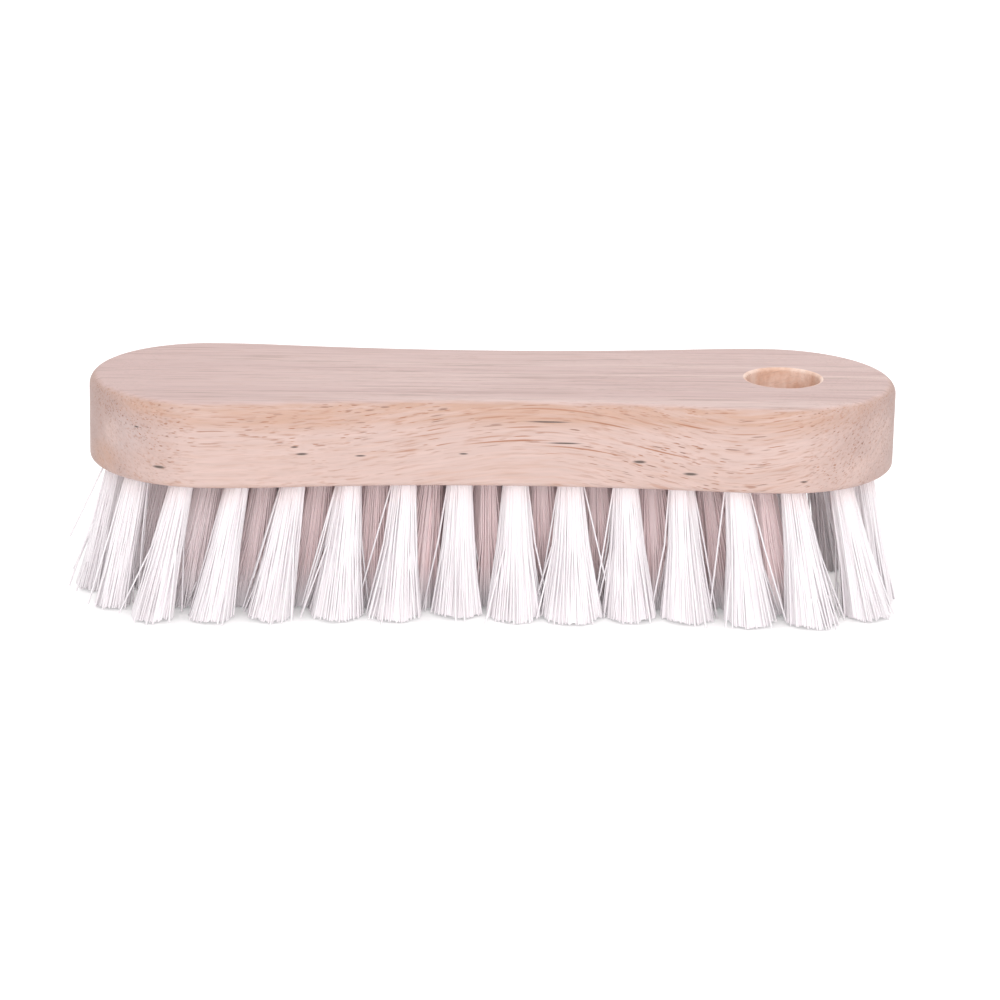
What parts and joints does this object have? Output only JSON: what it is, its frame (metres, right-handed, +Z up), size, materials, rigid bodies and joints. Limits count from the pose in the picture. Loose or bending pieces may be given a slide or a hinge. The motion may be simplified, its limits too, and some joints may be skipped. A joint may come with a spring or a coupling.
{
  "type": "cleaning brush",
  "caption": "Hand scrubbing brush: a waisted wooden block with rounded ends and a hanging hole, and tufts of stiff white plastic bristle fanning out below it.",
  "frame": {"origin": "on the ground under the middle of the block, at the level of the trimmed bristle tips", "axes": "+X along the block towards the hanging hole, +Y across the block, +Z up from the bristles to the block's top"},
  "size_m": [0.2112, 0.06, 0.0563],
  "materials": {
    "wood": "sanded bare hardwood, fine pores",
    "bristle": "white translucent extruded filament"
  },
  "bodies": {
    "root": {"back_row_tuft_01": "bristle", "back_row_tuft_02": "bristle", "back_row_tuft_03": "bristle", "back_row_tuft_04": "bristle", "back_row_tuft_05": "bristle", "back_row_tuft_06": "bristle", "back_row_tuft_07": "bristle", "back_row_tuft_08": "bristle", "back_row_tuft_09": "bristle", "back_row_tuft_10": "bristle", "back_row_tuft_11": "bristle", "centre_row_tuft_01": "bristle", "centre_row_tuft_02": "bristle", "centre_row_tuft_03": "bristle", "centre_row_tuft_04": "bristle", "centre_row_tuft_05": "bristle", "centre_row_tuft_06": "bristle", "edge_tuft_01": "bristle", "edge_tuft_02": "bristle", "edge_tuft_03": "bristle", "edge_tuft_04": "bristle", "edge_tuft_05": "bristle", "edge_tuft_06": "bristle", "edge_tuft_07": "bristle", "edge_tuft_08": "bristle", "edge_tuft_09": "bristle", "edge_tuft_10": "bristle", "edge_tuft_11": "bristle", "edge_tuft_12": "bristle", "edge_tuft_13": "bristle", "edge_tuft_14": "bristle", "edge_tuft_15": "bristle", "edge_tuft_16": "bristle", "edge_tuft_17": "bristle", "edge_tuft_18": "bristle", "edge_tuft_19": "bristle", "edge_tuft_20": "bristle", "edge_tuft_21": "bristle", "edge_tuft_22": "bristle", "edge_tuft_23": "bristle", "edge_tuft_24": "bristle", "edge_tuft_25": "bristle", "edge_tuft_26": "bristle", "edge_tuft_27": "bristle", "edge_tuft_28": "bristle", "edge_tuft_29": "bristle", "edge_tuft_30": "bristle", "edge_tuft_31": "bristle", "front_row_tuft_01": "bristle", "front_row_tuft_02": "bristle", "front_row_tuft_03": "bristle", "front_row_tuft_04": "bristle", "front_row_tuft_05": "bristle", "front_row_tuft_06": "bristle", "front_row_tuft_07": "bristle", "front_row_tuft_08": "bristle", "front_row_tuft_09": "bristle", "front_row_tuft_10": "bristle", "front_row_tuft_11": "bristle", "wooden_block": "wood"}
  },
  "joints": []
}
